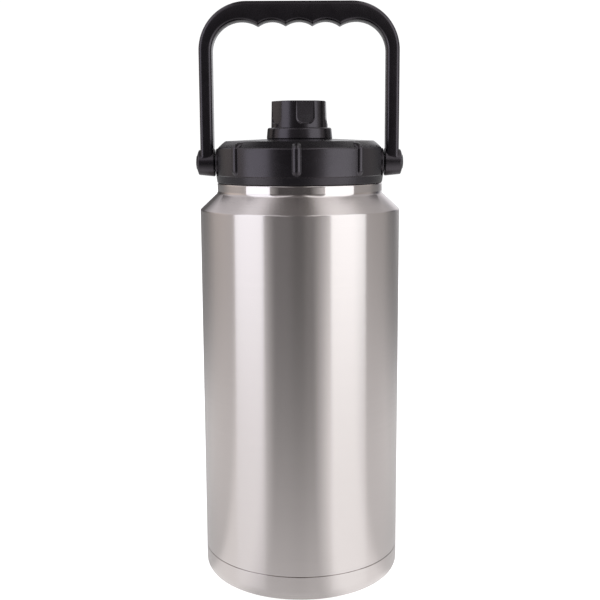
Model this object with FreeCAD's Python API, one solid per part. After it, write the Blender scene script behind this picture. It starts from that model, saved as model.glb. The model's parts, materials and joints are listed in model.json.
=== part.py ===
import FreeCAD, Part
import math
import os

# Large double-wall water jug: steel vacuum body, wide screw lid, screw spout cap and a bail handle.
# Millimetres. +Z is up, the jug's axis is the Z axis, and z = 0 is the surface it stands on.
# The front is -Y and the handle's pivots lie along X.

V = FreeCAD.Vector
ORIGIN = V(0, 0, 0)
UP = V(0, 0, 1)

# --- driving dimensions: vacuum body ---
BODY_R = 72.0            # outer radius of the straight wall
STEEL_T = 0.9            # sheet thickness of both walls
BASE_CORNER_R = 8.9      # rounding between wall and base
SEAM_Z = 19.9            # height of the seam above the base cup
SEAM_GAP = 0.5           # width of the visible seam groove
SPIGOT_H = 5.0           # how far the base cup's spigot reaches up behind the seam
SHOULDER_Z = 272.4       # top edge of the straight wall
NECK_R = 59.4            # outer radius of the neck
NECK_Z = 284.2           # where the shoulder cone meets the neck
LIP_Z = 291.2            # top of the steel lip
MOUTH_R = 52.0           # bore of the mouth
LINER_R = 66.0           # bore of the inner vessel
LINER_FLOOR_Z = 12.0     # underside of the inner vessel
LINER_CONE_Z = 266.4     # the inner vessel starts to narrow
LINER_NECK_Z = 277.7     # the inner vessel has narrowed to the mouth
BASE_RECESS_R = 48.0     # raised centre of the base
BASE_RECESS_Z = 4.0
SEAL_HOLE_R = 2.2        # evacuation hole in the base cup
GETTER_X = 24.0          # the getter sits off centre in the vacuum gap
GETTER_R = 6.0
GETTER_H = 2.6
STRAP_T = 0.4
STRAP_W = 5.0

# --- driving dimensions: lid ---
LID_R = 60.7             # band of the lid
LID_RING_R = 60.2        # ring below the band
LID_BOTTOM_R = 59.5
LID_BOTTOM_Z = 291.5
LID_RING_TOP_Z = 296.6
LID_BAND_LOW_Z = 297.1
LID_BAND_TOP_Z = 316.1
LID_EDGE_R = 53.2        # inner end of the chamfer
LID_EDGE_Z = 320.9
LID_TOP_Z = 322.0        # flat seat of the spout collar
LID_WALL = 2.5
LID_FLAT_X = 57.4        # flats on both sides of the lid, where the pivots stand
LID_FLAT_TOP_Z = 316.35  # the flats lean inwards above this height
LID_FLAT_EDGE_X = 53.6   # and meet the lid's top edge here
PLUG_R = 49.6            # wall of the plug that enters the mouth
PLUG_WALL = 2.4
PLUG_BOTTOM_Z = 268.0
DUCT_TOP_Z = 314.0       # top of the plug's duct round the spout's tail
FLANGE_R = 57.0          # flange of the plug, seated in the lid's lower ring
FLANGE_Z = 293.9         # underside of the flange
FLANGE_T = 2.1
RIB_R = 3.4              # radius of a half-round grip rib
RIB_COUNT = 8            # pitch positions round the lid, two of them taken by the pivots
RIB_TURN = -2.0          # degrees that the rib pattern is turned from the front
RIB_LOW_Z = 300.9        # centre of a rib's lower ball end
RIB_BEND_Z = 315.2       # where a rib turns in along the chamfer
RIB_LEAN = 2.4           # length of the rib's stretch along the chamfer

# --- driving dimensions: spout and its cap ---
SPOUT_BORE_R = 12.0
SPOUT_R = 14.4
SPOUT_TOP_Z = 343.5
SPOUT_LOW_Z = 300.0
SPOUT_FLANGE_R = 20.5
SPOUT_FLANGE_T = 2.0
GROOVE_LOW_Z = 305.0     # groove of the spout's O-ring
GROOVE_TOP_Z = 307.0
GROOVE_DEPTH = 0.9
COLLAR_R = 23.6          # foot of the collar, which narrows upwards
COLLAR_HIGH_R = 22.9
COLLAR_SEAT_Z = 329.6    # sunk floor that the cap stands over
COLLAR_TOP_Z = 330.2
CAP_BOTTOM_Z = 329.9
CAP_TOP_Z = 348.9
CAP_LOW_R = 20.3
CAP_HIGH_R = 19.9
CAP_BORE_R = 17.3
CAP_ROOF_T = 2.1
CAP_LINER_T = 1.1
CAP_GRIPS = 5
CAP_GRIP_TURN = 12.7     # degrees from the front to the first finger recess
CAP_GRIP_W = 13.0
CAP_GRIP_H = 15.8        # height of a finger recess, open at the top
CAP_GRIP_FLOOR_R = 18.7

# --- driving dimensions: threads (lead, starts, ridge width at the root and at the crest) ---
LID_LEAD = 10.0
CAP_LEAD = 6.0
STARTS = 2
LID_RIDGE_W = (2.2, 1.0)
CAP_RIDGE_W = (1.4, 0.6)
LID_RIDGE_H = 1.8
CAP_RIDGE_H = 1.2
MOUTH_THREAD_Z = 280.0   # lower end of the thread in the mouth
PLUG_THREAD_Z = 277.7    # lower end of the thread on the plug
SPOUT_THREAD_Z = 332.9   # lower end of the thread on the spout
CAP_THREAD_Z = 331.9     # lower end of the thread in the cap
LID_DATUM_Z = 278.0      # the mouth's thread passes this height at angle 0
CAP_DATUM_Z = 331.0      # the cap's thread passes this height at angle 0
LID_MESH = LID_LEAD / STARTS / 2
CAP_MESH = CAP_LEAD / STARTS / 2

# --- driving dimensions: handle and pivots ---
PIVOT_Z = 305.7
HANDLE_TOP_Z = 417.8
HANDLE_HALF_W = 71.0
HANDLE_LEG_IN = 61.8
HANDLE_CORNER_R = 34.0
HANDLE_INNER_R = 21.2    # rounding of the window's upper corners
HANDLE_DEPTH = 17.6
HANDLE_EDGE_R = 2.5
FINGER_PITCH = 19.0      # distance between the finger scallops
FINGER_R = 16.5
GRIP_APEX_Z = 404.4      # top of each finger scallop
GRIP_CUSP_Z = 401.0
BOSS_R = 10.0            # round boss on each flat of the lid
BOSS_FACE_X = 60.1
BOSS_STUB_R = 6.5        # its thinner stub inside the lid
BOSS_IN_X = 48.7
HUB_IN_R = 10.0          # the hub tapers outwards
HUB_OUT_R = 8.9
HUB_IN_X = 60.9
HUB_DOME_R = 22.5        # rounding of the hub's outer face
HUB_DOME_X = 74.5
COVER_DOME_X = 74.8
COVER_R = 5.0
COVER_IN_X = 69.9
INSERT_R = 3.6
WASHER_R = 7.4
WASHER_T = 0.5
BUSHING_R = 4.5
SCREW_R = 3.0            # shoulder of the pivot screw
SCREW_HEAD_R = 4.6
SCREW_HEAD_T = 2.5
SCREW_SOCKET_R = 1.7
SCREW_THREAD_R = 2.4
COUNTERBORE_X = 66.5     # seat of the screw head inside the hub
RUN_CLEAR = 0.05         # radial clearance of the handle's pivots


def outline(corners):
    """Closed face in the XZ plane. A corner is (x, z), or (x, z, radius) to round it."""
    points = [V(c[0], 0, c[1]) for c in corners]
    radii = [c[2] if len(c) > 2 else 0.0 for c in corners]
    count = len(points)
    stops = []
    for i, here in enumerate(points):
        if radii[i] == 0.0:
            stops.append((here, None, here))
            continue
        back = (points[i - 1] - here).normalize()
        ahead = (points[(i + 1) % count] - here).normalize()
        half_turn = back.getAngle(ahead) / 2
        reach = radii[i] / math.tan(half_turn)
        middle = (back + ahead).normalize() * (radii[i] / math.sin(half_turn) - radii[i])
        stops.append((here + back * reach, here + middle, here + ahead * reach))
    edges = []
    for i in range(count):
        start, via, end = stops[i]
        if via is not None:
            edges.append(Part.Arc(start, via, end).toShape())
        following = stops[(i + 1) % count][0]
        if end.distanceToPoint(following) > 1e-6:
            edges.append(Part.makeLine(end, following))
    return Part.Face(Part.Wire(edges))


def turned(corners):
    """Solid of revolution about the jug's axis from an XZ outline."""
    return outline(corners).revolve(ORIGIN, UP, 360)


def ring(inner_r, outer_r, low_z, high_z):
    return turned([(inner_r, low_z), (outer_r, low_z), (outer_r, high_z), (inner_r, high_z)])


def disc_x(radius, x_from, x_to, z=PIVOT_Z):
    """Cylinder along X between two x positions, at the pivot's height."""
    return Part.makeCylinder(radius, abs(x_to - x_from), V(min(x_from, x_to), 0, z), V(1, 0, 0))


def spun(shape, degrees):
    copy = shape.copy()
    copy.rotate(ORIGIN, UP, degrees)
    return copy


def both_sides(make_right):
    """The part made for +X and its copy turned half round for -X, as one compound."""
    right = make_right()
    return Part.makeCompound([right, spun(right, 180)])


def thread(wall_r, crest_r, low_z, turns, lead, widths, datum_z):
    """Ridges of a right-hand thread, rooted slightly inside the wall they stand on.

    The thread would pass the datum height at angle 0, so two threads whose datums are half
    a ridge pitch apart are in mesh.
    """
    phase = 360 * (low_z - datum_z) / lead
    bury = 0.3 if crest_r > wall_r else -0.3
    root_w, crest_w = widths
    profile = Part.makePolygon([
        V(wall_r - bury, 0, low_z - root_w / 2),
        V(wall_r, 0, low_z - root_w / 2),
        V(crest_r, 0, low_z - crest_w / 2),
        V(crest_r, 0, low_z + crest_w / 2),
        V(wall_r, 0, low_z + root_w / 2),
        V(wall_r - bury, 0, low_z + root_w / 2),
        V(wall_r - bury, 0, low_z - root_w / 2)])
    path = Part.makeHelix(lead, lead * turns, wall_r)
    path.translate(V(0, 0, low_z))
    ridge = path.makePipeShell([profile], True, True)
    return [spun(ridge, phase + 360 / STARTS * start) for start in range(STARTS)]


# ---------------------------------------------------------------- vacuum body

def outer_shell():
    """Straight outer wall with shoulder, neck and the lip rolled in towards the mouth."""
    low_z = SEAM_Z + SEAM_GAP / 2
    inner_r = BODY_R - STEEL_T
    neck_in = NECK_R - STEEL_T
    return turned([
        (inner_r, low_z), (BODY_R, low_z),
        (BODY_R, SHOULDER_Z, 1.2), (NECK_R, NECK_Z, 3.0),
        (NECK_R, LIP_Z, 0.7), (MOUTH_R + STEEL_T, LIP_Z),
        (MOUTH_R + STEEL_T, LIP_Z - STEEL_T), (neck_in, LIP_Z - STEEL_T, 0.3),
        (neck_in, NECK_Z - 0.4, 3.0), (inner_r, SHOULDER_Z - 0.4, 1.0)])


def base_cup():
    """Pressed bottom cup. Its spigot slips inside the outer wall behind the seam."""
    top_z = SEAM_Z - SEAM_GAP / 2
    spigot_r = BODY_R - STEEL_T
    spigot_top = SEAM_Z + SPIGOT_H
    inner_r = spigot_r - STEEL_T
    slope_r = BASE_RECESS_R + 5
    return turned([
        (SEAL_HOLE_R, BASE_RECESS_Z), (BASE_RECESS_R, BASE_RECESS_Z, 2.0), (slope_r, 0, 2.0),
        (BODY_R, 0, BASE_CORNER_R), (BODY_R, top_z), (spigot_r, top_z), (spigot_r, spigot_top),
        (inner_r, spigot_top), (inner_r, STEEL_T, BASE_CORNER_R - 1.8),
        (slope_r + 0.4, STEEL_T, 1.0), (BASE_RECESS_R + 0.4, BASE_RECESS_Z + STEEL_T, 1.0),
        (SEAL_HOLE_R, BASE_RECESS_Z + STEEL_T)])


def base_plate():
    """Thin cosmetic disc spot-welded under the raised centre, hiding the vacuum seal."""
    edge_r = BASE_RECESS_R - 2.2
    low_z = BASE_RECESS_Z - STEEL_T
    return turned([(0, low_z), (edge_r, low_z, 0.3), (edge_r, BASE_RECESS_Z), (0, BASE_RECESS_Z)])


def vacuum_seal():
    """Plug of solder that closes the evacuation hole in the base cup."""
    floor = BASE_RECESS_Z + STEEL_T
    return turned([
        (0, BASE_RECESS_Z + 0.1), (SEAL_HOLE_R, BASE_RECESS_Z + 0.1), (SEAL_HOLE_R, floor),
        (5.0, floor), (3.6, floor + 1.0), (0, floor + 1.3)])


def getter():
    """Gas-absorbing tablet in the vacuum gap."""
    return Part.makeCylinder(GETTER_R, GETTER_H, V(GETTER_X, 0, BASE_RECESS_Z + STEEL_T))


def getter_clip():
    """Thin strap, spot-welded to the base cup at both feet, that holds the tablet down."""
    floor = BASE_RECESS_Z + STEEL_T
    inner = GETTER_R + 0.4
    outer = inner + STRAP_T
    toe = outer + 4.7
    under = floor + GETTER_H + 0.1
    strap = outline([
        (-toe, floor), (-inner, floor), (-inner, under), (inner, under), (inner, floor),
        (toe, floor), (toe, floor + STRAP_T), (outer, floor + STRAP_T), (outer, under + STRAP_T),
        (-outer, under + STRAP_T), (-outer, floor + STRAP_T), (-toe, floor + STRAP_T)])
    clip = strap.extrude(V(0, STRAP_W, 0))
    clip.translate(V(GETTER_X, -STRAP_W / 2, 0))
    return clip


def inner_liner():
    """Inner vessel with the rolled thread in its mouth."""
    outer_r = LINER_R + STEEL_T
    neck_out = MOUTH_R + STEEL_T
    vessel = turned([
        (0, LINER_FLOOR_Z), (outer_r, LINER_FLOOR_Z, 11.0), (outer_r, LINER_CONE_Z, 4.0),
        (neck_out, LINER_NECK_Z, 3.0), (neck_out, LIP_Z), (MOUTH_R, LIP_Z),
        (MOUTH_R, LINER_NECK_Z - 0.4, 3.0), (LINER_R, LINER_CONE_Z - 0.4, 4.0),
        (LINER_R, LINER_FLOOR_Z + STEEL_T, 10.1), (0, LINER_FLOOR_Z + STEEL_T)])
    ridges = thread(MOUTH_R, MOUTH_R - LID_RIDGE_H, MOUTH_THREAD_Z, 0.8, LID_LEAD, LID_RIDGE_W, LID_DATUM_Z)
    return vessel.fuse(ridges).removeSplitter()


# ------------------------------------------------------------------------ lid

def lid_rib(angle):
    """One half-round grip rib, sunk into the band, that turns in along the chamfer. Its ends are balls."""
    spine_r = LID_R - RIB_R / 2
    inward = V(0, LID_R - LID_EDGE_R, LID_EDGE_Z - LID_BAND_TOP_Z).normalize()
    foot = V(0, -spine_r, RIB_LOW_Z)
    bend = V(0, -spine_r, RIB_BEND_Z)
    upright = Part.makeCylinder(RIB_R, RIB_BEND_Z - RIB_LOW_Z, foot)
    lean = Part.makeCylinder(RIB_R, RIB_LEAN, bend, inward)
    balls = [Part.makeSphere(RIB_R, centre) for centre in (foot, bend, bend + inward * RIB_LEAN)]
    return spun(upright.fuse([lean] + balls), angle)


def lid_flat():
    """Cutter for the flat on the +X side: upright, and leaning inwards above."""
    lean = (LID_FLAT_X - LID_FLAT_EDGE_X) / (LID_EDGE_Z - LID_FLAT_TOP_Z)
    clear_x = LID_R + 5
    clear_z = LID_TOP_Z + 5
    face = outline([
        (LID_FLAT_X, LID_RING_TOP_Z), (clear_x, LID_RING_TOP_Z), (clear_x, clear_z),
        (LID_FLAT_EDGE_X - lean * (clear_z - LID_EDGE_Z), clear_z), (LID_FLAT_X, LID_FLAT_TOP_Z)])
    cutter = face.extrude(V(0, 2 * LID_R, 0))
    cutter.translate(V(0, -LID_R, 0))
    return cutter


def lid_boss(side):
    """Round boss on a flat, with its outer edge chamfered."""
    boss = disc_x(BOSS_R, side * (LID_FLAT_X - 1.2), side * BOSS_FACE_X)
    rim = [e for e in boss.Edges if e.BoundBox.XLength < 0.01
           and abs(abs(e.BoundBox.XMin) - BOSS_FACE_X) < 0.01]
    return boss.makeChamfer(0.6, rim)


def lid_hollow():
    """Seat for the plug's flange, and the chamber above it, which stops short of the flats."""
    inner_r = LID_R - LID_WALL
    seat_z = FLANGE_Z + FLANGE_T
    roof_z = LID_TOP_Z - LID_WALL - 1.0
    half_x = LID_FLAT_X - LID_WALL
    chamber = turned([
        (0, seat_z), (inner_r, seat_z), (inner_r, LID_BAND_TOP_Z - 1.4, 2.0),
        (LID_EDGE_R - 1.5, roof_z - 0.6, 2.0), (0, roof_z)])
    between = Part.makeBox(2 * half_x, 2 * LID_R, LID_TOP_Z - seat_z, V(-half_x, -LID_R, seat_z))
    seat = Part.makeCylinder(FLANGE_R, seat_z - LID_BOTTOM_Z + 1, V(0, 0, LID_BOTTOM_Z - 1))
    return chamber.common(between).fuse(seat)


def lid_shell():
    """Outer cap of the lid: ring, band, chamfer, grip ribs, flats and pivot bosses."""
    bore_r = SPOUT_R + 0.2
    body = turned([
        (bore_r, LID_BOTTOM_Z), (LID_BOTTOM_R, LID_BOTTOM_Z, 0.5), (LID_RING_R, LID_RING_TOP_Z),
        (LID_R, LID_BAND_LOW_Z), (LID_R, LID_BAND_TOP_Z, 1.5), (LID_EDGE_R, LID_EDGE_Z, 1.8),
        (COLLAR_R + 1, LID_TOP_Z + 0.2), (COLLAR_R + 0.4, LID_TOP_Z), (bore_r, LID_TOP_Z)])
    step = 360 / RIB_COUNT
    body = body.fuse([lid_rib(RIB_TURN + step * i) for i in range(RIB_COUNT) if i % 4 != 2])
    body = body.cut([lid_flat(), spun(lid_flat(), 180)])
    body = body.fuse([lid_boss(1), lid_boss(-1)])
    body = body.cut(lid_hollow())
    for side in (1, -1):
        body = body.fuse(disc_x(BOSS_STUB_R, side * BOSS_IN_X, side * (LID_FLAT_X - 1)))
        body = body.cut(disc_x(INSERT_R, side * (BOSS_IN_X - 1), side * (BOSS_FACE_X + 1)))
    return body.removeSplitter()


def lid_plug():
    """Insulated plug that screws into the mouth, with the flange and the duct for the spout."""
    wall_in = PLUG_R - PLUG_WALL
    duct_in = SPOUT_R + 0.2
    duct_out = duct_in + 2.0
    floor_z = PLUG_BOTTOM_Z + PLUG_WALL
    flange_top = FLANGE_Z + FLANGE_T
    body = turned([
        (SPOUT_BORE_R, PLUG_BOTTOM_Z, 0.8), (PLUG_R, PLUG_BOTTOM_Z, 2.5), (PLUG_R, FLANGE_Z),
        (FLANGE_R, FLANGE_Z), (FLANGE_R, flange_top), (wall_in, flange_top), (wall_in, floor_z, 1.0),
        (duct_out, floor_z), (duct_out, DUCT_TOP_Z), (duct_in, DUCT_TOP_Z),
        (duct_in, SPOUT_LOW_Z - 0.3), (SPOUT_BORE_R, SPOUT_LOW_Z - 0.3)])
    ridges = thread(PLUG_R, PLUG_R + LID_RIDGE_H, PLUG_THREAD_Z, 0.85, LID_LEAD, LID_RIDGE_W,
                    LID_DATUM_Z + LID_MESH)
    return body.fuse(ridges).removeSplitter()


def lid_foam():
    """Ring of insulating foam inside the plug, under the lid's top."""
    return ring(SPOUT_R + 2.6, PLUG_R - PLUG_WALL - 0.5, PLUG_BOTTOM_Z + PLUG_WALL + 1.2, DUCT_TOP_Z + 2.0)


def lid_gasket():
    """Silicone ring between the plug's flange and the steel lip."""
    inner_r = MOUTH_R + 0.4
    outer_r = FLANGE_R - 0.4
    return turned([
        (inner_r, LIP_Z + 0.2), (outer_r, LIP_Z + 0.2, 0.6), (outer_r, FLANGE_Z - 0.2, 0.6),
        (inner_r, FLANGE_Z - 0.2)])


def spout():
    """Drinking spout with the outside thread for its cap, a seating flange and a tail into the duct."""
    groove_r = SPOUT_R - GROOVE_DEPTH
    flange_top = LID_TOP_Z + SPOUT_FLANGE_T
    body = turned([
        (SPOUT_BORE_R, SPOUT_LOW_Z), (SPOUT_R, SPOUT_LOW_Z), (SPOUT_R, GROOVE_LOW_Z),
        (groove_r, GROOVE_LOW_Z), (groove_r, GROOVE_TOP_Z), (SPOUT_R, GROOVE_TOP_Z), (SPOUT_R, LID_TOP_Z),
        (SPOUT_FLANGE_R, LID_TOP_Z), (SPOUT_FLANGE_R, flange_top), (SPOUT_R, flange_top),
        (SPOUT_R, SPOUT_TOP_Z, 1.0), (SPOUT_BORE_R, SPOUT_TOP_Z, 1.0)])
    ridges = thread(SPOUT_R, SPOUT_R + CAP_RIDGE_H, SPOUT_THREAD_Z, 1.25, CAP_LEAD, CAP_RIDGE_W,
                    CAP_DATUM_Z + CAP_MESH)
    return body.fuse(ridges).removeSplitter()


def spout_ring():
    """O-ring in the groove of the spout's tail."""
    return ring(SPOUT_R - GROOVE_DEPTH + 0.05, SPOUT_R + 0.2, GROOVE_LOW_Z + 0.1, GROOVE_TOP_Z - 0.1)


def spout_collar():
    """Collar that holds the spout's flange down on the lid. The cap stands in its sunk top."""
    flange_top = LID_TOP_Z + SPOUT_FLANGE_T
    flange_r = SPOUT_FLANGE_R + 0.1
    sunk_r = CAP_LOW_R + 0.4
    return turned([
        (SPOUT_R + 0.1, flange_top), (flange_r, flange_top), (flange_r, LID_TOP_Z),
        (COLLAR_R - 0.3, LID_TOP_Z), (COLLAR_R, LID_TOP_Z + 1.0), (COLLAR_HIGH_R, COLLAR_TOP_Z, 1.4),
        (sunk_r, COLLAR_TOP_Z), (sunk_r, COLLAR_SEAT_Z), (SPOUT_R + 0.1, COLLAR_SEAT_Z)])


# ------------------------------------------------------------------ spout cap

def cap_grip(angle):
    """Cutter for one finger recess: a flat-floored, U-shaped pocket that is open at the top."""
    half = CAP_GRIP_W / 2
    low = CAP_TOP_Z - CAP_GRIP_H
    high = CAP_TOP_Z + 2
    face = outline([(-half, low, 4.4), (half, low, 4.4), (half, high), (-half, high)])
    pocket = face.extrude(V(0, -10, 0))
    pocket.translate(V(0, -CAP_GRIP_FLOOR_R, 0))
    return spun(pocket, angle)


def spout_cap():
    """Outer cap with finger recesses round its side."""
    roof_z = CAP_TOP_Z - CAP_ROOF_T
    body = turned([
        (0, roof_z), (CAP_BORE_R, roof_z), (CAP_BORE_R, CAP_BOTTOM_Z),
        (CAP_LOW_R, CAP_BOTTOM_Z, 0.2), (CAP_HIGH_R, CAP_TOP_Z, 0.5), (0, CAP_TOP_Z)])
    step = 360 / CAP_GRIPS
    return body.cut([cap_grip(CAP_GRIP_TURN + step * i) for i in range(CAP_GRIPS)])


def cap_liner():
    """Threaded inner cup welded inside the cap."""
    bore = CAP_BORE_R - CAP_LINER_T
    low = CAP_BOTTOM_Z + 0.6
    top = CAP_TOP_Z - CAP_ROOF_T
    roof_z = top - 1.4
    body = turned([
        (0, roof_z), (bore, roof_z), (bore, low), (CAP_BORE_R, low), (CAP_BORE_R, top), (0, top)])
    ridges = thread(bore, bore - CAP_RIDGE_H, CAP_THREAD_Z, 1.1, CAP_LEAD, CAP_RIDGE_W, CAP_DATUM_Z)
    return body.fuse(ridges).removeSplitter()


def cap_seal():
    """Silicone disc that the spout's rim presses on."""
    edge_r = CAP_BORE_R - CAP_LINER_T - 0.2
    low = SPOUT_TOP_Z + 0.3
    high = CAP_TOP_Z - CAP_ROOF_T - 1.7
    return turned([(0, low), (edge_r, low, 0.3), (edge_r, high, 0.3), (0, high)])


# --------------------------------------------------------------------- handle

def handle_bow():
    """Bail with rounded outer corners and five finger scallops under the grip."""
    bow = outline([
        (-HANDLE_HALF_W, PIVOT_Z), (-HANDLE_HALF_W, HANDLE_TOP_Z, HANDLE_CORNER_R),
        (HANDLE_HALF_W, HANDLE_TOP_Z, HANDLE_CORNER_R), (HANDLE_HALF_W, PIVOT_Z)])
    half = HANDLE_DEPTH / 2
    depth = HANDLE_DEPTH + 2
    corner_x = HANDLE_LEG_IN - HANDLE_INNER_R
    solid = bow.extrude(V(0, HANDLE_DEPTH, 0))
    solid.translate(V(0, -half, 0))

    def bore(x, radius):
        return Part.makeCylinder(radius, depth, V(x, -half - 1, GRIP_APEX_Z - radius), V(0, 1, 0))

    def block(half_x, low_z, high_z):
        return Part.makeBox(2 * half_x, depth, high_z - low_z, V(-half_x, -half - 1, low_z))

    window = block(HANDLE_LEG_IN, PIVOT_Z - 1, GRIP_APEX_Z - HANDLE_INNER_R)
    middle = block(corner_x, GRIP_CUSP_Z - 23, GRIP_CUSP_Z - 3)
    scallops = [bore(FINGER_PITCH * i, FINGER_R) for i in (-1, 0, 1)]
    corners = [bore(side * corner_x, HANDLE_INNER_R) for side in (-1, 1)]
    solid = solid.cut(window.fuse([middle] + scallops + corners)).removeSplitter()
    cusps = [e for e in solid.Edges if e.BoundBox.XLength < 0.01 and e.BoundBox.ZLength < 0.01
             and abs(e.BoundBox.XMin) < corner_x - 6 and e.BoundBox.ZMin < GRIP_APEX_Z - 1]
    solid = solid.makeFillet(HANDLE_EDGE_R + 0.1, cusps)
    rim = [e for e in solid.Edges if e.BoundBox.YLength < 0.01 and e.BoundBox.ZMax > PIVOT_Z + 0.1]
    return solid.makeFillet(HANDLE_EDGE_R, rim)


def about_pivot(corners):
    """Solid turned about the pivot's axis on the +X side. A corner is (radius, x), or has a rounding."""
    solid = turned(corners)
    solid.rotate(ORIGIN, V(0, 1, 0), 90)
    solid.translate(V(0, 0, PIVOT_Z))
    return solid


def domed(solid, apex_x):
    """Rounds off a +X solid's outer face with a sphere that reaches apex_x."""
    return solid.common(Part.makeSphere(HUB_DOME_R, V(apex_x - HUB_DOME_R, 0, PIVOT_Z)))


def hub():
    """Round hub at the foot of the +X leg, tapering outwards to a domed face."""
    drum = about_pivot([
        (0, HUB_IN_X), (HUB_IN_R - 0.7, HUB_IN_X), (HUB_IN_R, HUB_IN_X + 0.7),
        (HUB_OUT_R, HUB_DOME_X - 1.2, 1.0), (0, HUB_DOME_X)])
    return domed(drum, HUB_DOME_X)


def handle():
    """Bail and both hubs in one moulding, bored for the bushings and screw heads."""
    solid = handle_bow().fuse([hub(), spun(hub(), 180)])
    for side in (1, -1):
        solid = solid.cut(disc_x(BUSHING_R, side * (HUB_IN_X - 1), side * COUNTERBORE_X))
        solid = solid.cut(disc_x(COVER_R, side * COUNTERBORE_X, side * (HUB_DOME_X + 1)))
    return solid.removeSplitter()


def pivot_inserts():
    """Threaded brass inserts moulded into the lid's bosses."""
    return both_sides(lambda: disc_x(INSERT_R, BOSS_IN_X, BOSS_FACE_X - 0.3).cut(
        disc_x(SCREW_THREAD_R + 0.05, BOSS_IN_X - 1, BOSS_FACE_X + 1)))


def pivot_screws():
    """Shoulder screws that the handle turns on."""
    head_x = COUNTERBORE_X + 0.3

    def screw():
        shank = disc_x(SCREW_THREAD_R, BOSS_IN_X + 1, BOSS_FACE_X)
        shoulder = disc_x(SCREW_R, BOSS_FACE_X, head_x)
        head = disc_x(SCREW_HEAD_R, head_x, head_x + SCREW_HEAD_T)
        socket = disc_x(SCREW_SOCKET_R, head_x + 0.9, head_x + SCREW_HEAD_T + 1)
        return shank.fuse([shoulder, head]).cut(socket).removeSplitter()
    return both_sides(screw)


def pivot_washers():
    """Thin washers between boss and hub."""
    return both_sides(lambda: disc_x(WASHER_R, BOSS_FACE_X, BOSS_FACE_X + WASHER_T).cut(
        disc_x(SCREW_R + 0.1, BOSS_FACE_X - 1, BOSS_FACE_X + 1)))


def pivot_bushings():
    """Plain bushings pressed into the hubs."""
    return both_sides(lambda: disc_x(BUSHING_R, HUB_IN_X + 0.1, COUNTERBORE_X).cut(
        disc_x(SCREW_R + RUN_CLEAR, HUB_IN_X - 1, COUNTERBORE_X + 1)))


def hub_caps():
    """Snap-in domed covers over the screw heads."""
    return both_sides(lambda: domed(
        about_pivot([(0, COVER_IN_X), (COVER_R, COVER_IN_X), (COVER_R, COVER_DOME_X), (0, COVER_DOME_X)]),
        COVER_DOME_X))


NODES = [
    outer_shell, base_cup, base_plate, vacuum_seal, getter, getter_clip, inner_liner,
    lid_shell, lid_plug, lid_foam, lid_gasket, spout, spout_ring, spout_collar,
    pivot_inserts, pivot_screws, pivot_washers,
    spout_cap, cap_liner, cap_seal,
    handle, pivot_bushings, hub_caps,
]

os.makedirs("parts", exist_ok=True)
for make in NODES:
    shape = make()
    if not shape.isValid():
        print("invalid", make.__name__)
    shape.exportStep(os.path.join("parts", make.__name__ + ".step"))
    print(make.__name__, len(shape.Solids), round(shape.Volume))
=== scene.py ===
import json
import math

import bmesh
import bpy
import numpy as np
from mathutils import Matrix, Vector


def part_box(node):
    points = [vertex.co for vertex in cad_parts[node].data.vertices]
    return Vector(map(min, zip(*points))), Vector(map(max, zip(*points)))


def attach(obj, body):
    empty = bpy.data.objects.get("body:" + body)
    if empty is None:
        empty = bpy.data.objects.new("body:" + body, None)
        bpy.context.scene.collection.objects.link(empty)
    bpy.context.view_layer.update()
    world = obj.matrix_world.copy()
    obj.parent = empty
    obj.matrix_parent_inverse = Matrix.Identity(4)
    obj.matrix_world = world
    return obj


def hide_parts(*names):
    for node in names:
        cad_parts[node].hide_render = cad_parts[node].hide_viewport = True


# Large steel water jug with a black screw lid, a capped spout and a bail handle.
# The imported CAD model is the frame. The outside pieces are finely meshed here from sizes that
# are read off the frame, and the inside pieces stay as packed and get better materials.

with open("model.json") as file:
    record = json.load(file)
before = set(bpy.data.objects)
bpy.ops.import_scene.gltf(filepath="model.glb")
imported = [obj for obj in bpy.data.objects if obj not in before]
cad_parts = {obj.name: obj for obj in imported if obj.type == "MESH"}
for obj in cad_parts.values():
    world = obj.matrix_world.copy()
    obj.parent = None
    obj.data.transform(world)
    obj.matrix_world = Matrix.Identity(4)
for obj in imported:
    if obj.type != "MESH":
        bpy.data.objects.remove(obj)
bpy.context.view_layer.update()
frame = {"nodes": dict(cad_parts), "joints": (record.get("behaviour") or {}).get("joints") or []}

MM = 0.001
HAIR = 0.01 * MM  # smaller than any real size: tells apart points on a surface and beside it
ON_AXIS = 1e-7
SHARP = math.radians(34)


# ------------------------------------------------------------------ sizes read off the frame

def points_of(node):
    mesh = frame["nodes"][node].data
    flat = np.empty(len(mesh.vertices) * 3)
    mesh.vertices.foreach_get("co", flat)
    return flat.reshape(-1, 3)


def round_size(node):
    """Largest distance from the jug's axis, lowest z and highest z of a node."""
    points = points_of(node)
    return np.hypot(points[:, 0], points[:, 1]).max(), points[:, 2].min(), points[:, 2].max()


BODY_R, SEAM_TOP_Z, LIP_Z = round_size("outer_shell")
NECK_R = BODY_R - 12.6 * MM
NECK_Z = LIP_Z - 7.0 * MM
SHOULDER_Z = LIP_Z - 18.8 * MM
SEAM_LOW_Z = SEAM_TOP_Z - 0.5 * MM
_, BASE_Z, _ = round_size("base_cup")
PLATE_R, PLATE_Z, PLATE_TOP_Z = round_size("base_plate")
_, LID_BOTTOM_Z, _ = round_size("lid_shell")
COLLAR_R, COLLAR_Z, COLLAR_TOP_Z = round_size("spout_collar")
CAP_R, CAP_Z, CAP_TOP_Z = round_size("spout_cap")
_, HANDLE_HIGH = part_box("handle")
_, COVER_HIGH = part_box("hub_caps")
PIVOT_Z = next(j["pos_m"][2] for j in frame["joints"] if j["name"] == "handle_swing")


# ----------------------------------------------------------------------------- mesh helpers

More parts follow.
